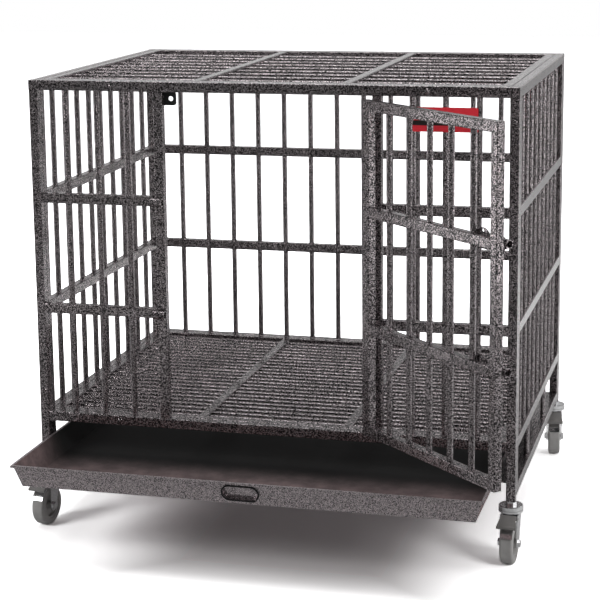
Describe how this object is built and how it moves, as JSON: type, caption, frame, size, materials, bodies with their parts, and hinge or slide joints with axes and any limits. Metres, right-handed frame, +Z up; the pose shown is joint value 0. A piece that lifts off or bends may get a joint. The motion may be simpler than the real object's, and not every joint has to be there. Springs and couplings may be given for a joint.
{
  "type": "dog crate",
  "caption": "Rolling dog crate of welded steel tube and round bars, with a swinging barred door, slide bolts, a pull-out tray under a bar floor and braked swivel casters.",
  "frame": {"origin": "on the ground, in the middle of the length, in the plane of the front face", "axes": "+X along the front to the right, +Y from the front to the back, +Z up"},
  "size_m": [1.1212, 1.157, 1.008],
  "materials": {
    "hammertone_paint": "dark grey-brown hammertone powder coat with silver speckle",
    "zinc_plate": "bright zinc plate",
    "black_paint": "satin black paint",
    "black_plastic": "black moulded rim",
    "red_paint": "red gloss paint, bare of lettering",
    "grey_rubber": "grey rubber tread",
    "grey_plastic": "grey moulded plastic",
    "brown_grey_plastic": "dark grey-brown moulded plastic"
  },
  "bodies": {
    "crate": {"front_rails": "hammertone_paint", "front_corner_posts": "hammertone_paint", "door_posts": "hammertone_paint", "front_mid_rails": "hammertone_paint", "front_bars": "hammertone_paint", "back_rails": "hammertone_paint", "back_posts": "hammertone_paint", "back_bars": "hammertone_paint", "side_posts": "hammertone_paint", "left_side_rails": "hammertone_paint", "right_side_rails": "hammertone_paint", "left_side_bars": "hammertone_paint", "right_side_bars": "hammertone_paint", "top_frame_rails": "hammertone_paint", "top_cross_members": "hammertone_paint", "top_bars": "hammertone_paint", "floor_frame_rails": "hammertone_paint", "floor_cross_members": "hammertone_paint", "floor_bars": "hammertone_paint", "tray_runners": "hammertone_paint", "latch_keepers": "hammertone_paint", "door_stop_tab": "black_paint", "name_plate": "red_paint", "plate_rivets": "zinc_plate", "panel_bolts": "hammertone_paint", "post_hinge_leaves": "hammertone_paint", "hinge_pins": "zinc_plate", "caster_stems": "zinc_plate", "caster_races": "zinc_plate"},
    "door": {"door_stiles": "hammertone_paint", "door_rails": "hammertone_paint", "door_bars": "hammertone_paint", "door_hinge_leaves": "hammertone_paint", "latch_guides": "hammertone_paint", "latch_plates": "hammertone_paint"},
    "upper_latch": {"upper_latch_bolt": "hammertone_paint"},
    "lower_latch": {"lower_latch_bolt": "hammertone_paint"},
    "tray": {"tray_pan": "hammertone_paint", "tray_pull_cup": "hammertone_paint", "tray_pull_surround": "black_plastic"},
    "caster_front_left": {"fork_front_left": "zinc_plate", "axle_front_left": "zinc_plate"},
    "wheel_front_left": {"tyre_front_left": "grey_rubber", "hub_front_left": "grey_plastic"},
    "brake_front_left": {"pedal_front_left": "brown_grey_plastic"},
    "caster_front_right": {"fork_front_right": "zinc_plate", "axle_front_right": "zinc_plate"},
    "wheel_front_right": {"tyre_front_right": "grey_rubber", "hub_front_right": "grey_plastic"},
    "brake_front_right": {"pedal_front_right": "brown_grey_plastic"},
    "caster_rear_left": {"fork_rear_left": "zinc_plate", "axle_rear_left": "zinc_plate"},
    "wheel_rear_left": {"tyre_rear_left": "grey_rubber", "hub_rear_left": "grey_plastic"},
    "brake_rear_left": {"pedal_rear_left": "brown_grey_plastic"},
    "caster_rear_right": {"fork_rear_right": "zinc_plate", "axle_rear_right": "zinc_plate"},
    "wheel_rear_right": {"tyre_rear_right": "grey_rubber", "hub_rear_right": "grey_plastic"},
    "brake_rear_right": {"pedal_rear_right": "brown_grey_plastic"}
  },
  "joints": [
    {"name": "door_hinge", "type": "hinge", "parent": "crate", "child": "door", "pos_m": [0.22775, -0.006, 0.6], "axis": [0, 0, 1], "range_deg": [-136.5, 35]},
    {"name": "upper_latch_slide", "type": "slide", "parent": "door", "child": "upper_latch", "axis": [0.7254, -0.6884, 0], "range_m": [0, 0.036]},
    {"name": "lower_latch_slide", "type": "slide", "parent": "door", "child": "lower_latch", "axis": [0.7254, -0.6884, 0], "range_m": [0, 0.036]},
    {"name": "tray_slide", "type": "slide", "parent": "crate", "child": "tray", "axis": [0, -1, 0], "range_m": [-0.237, 0.247]},
    {"name": "front_left_swivel", "type": "hinge", "parent": "crate", "child": "caster_front_left", "pos_m": [-0.525, 0.01, 0.11], "axis": [0, 0, 1], "continuous": true},
    {"name": "front_left_wheel_spin", "type": "hinge", "parent": "caster_front_left", "child": "wheel_front_left", "pos_m": [-0.52695, -0.00386, 0.044], "axis": [0.9903, -0.1392, 0], "continuous": true},
    {"name": "front_left_brake_pedal", "type": "hinge", "parent": "caster_front_left", "child": "brake_front_left", "pos_m": [-0.52695, -0.00386, 0.0975], "axis": [0.9903, -0.1392, 0], "range_deg": [0, 15]},
    {"name": "front_right_swivel", "type": "hinge", "parent": "crate", "child": "caster_front_right", "pos_m": [0.525, 0.01, 0.11], "axis": [0, 0, 1], "continuous": true},
    {"name": "front_right_wheel_spin", "type": "hinge", "parent": "caster_front_right", "child": "wheel_front_right", "pos_m": [0.52427, -0.00398, 0.044], "axis": [0.9986, -0.0523, 0], "continuous": true},
    {"name": "front_right_brake_pedal", "type": "hinge", "parent": "caster_front_right", "child": "brake_front_right", "pos_m": [0.52427, -0.00398, 0.0975], "axis": [0.9986, -0.0523, 0], "range_deg": [0, 15]},
    {"name": "rear_left_swivel", "type": "hinge", "parent": "crate", "child": "caster_rear_left", "pos_m": [-0.525, 0.79, 0.11], "axis": [0, 0, 1], "continuous": true},
    {"name": "rear_left_wheel_spin", "type": "hinge", "parent": "caster_rear_left", "child": "wheel_rear_left", "pos_m": [-0.525, 0.776, 0.044], "axis": [1, 0, 0], "continuous": true},
    {"name": "rear_left_brake_pedal", "type": "hinge", "parent": "caster_rear_left", "child": "brake_rear_left", "pos_m": [-0.525, 0.776, 0.0975], "axis": [1, 0, 0], "range_deg": [0, 15]},
    {"name": "rear_right_swivel", "type": "hinge", "parent": "crate", "child": "caster_rear_right", "pos_m": [0.525, 0.79, 0.11], "axis": [0, 0, 1], "continuous": true},
    {"name": "rear_right_wheel_spin", "type": "hinge", "parent": "caster_rear_right", "child": "wheel_rear_right", "pos_m": [0.52695, 0.77614, 0.044], "axis": [0.9903, 0.1392, 0], "continuous": true},
    {"name": "rear_right_brake_pedal", "type": "hinge", "parent": "caster_rear_right", "child": "brake_rear_right", "pos_m": [0.52695, 0.77614, 0.0975], "axis": [0.9903, 0.1392, 0], "range_deg": [0, 15]}
  ]
}
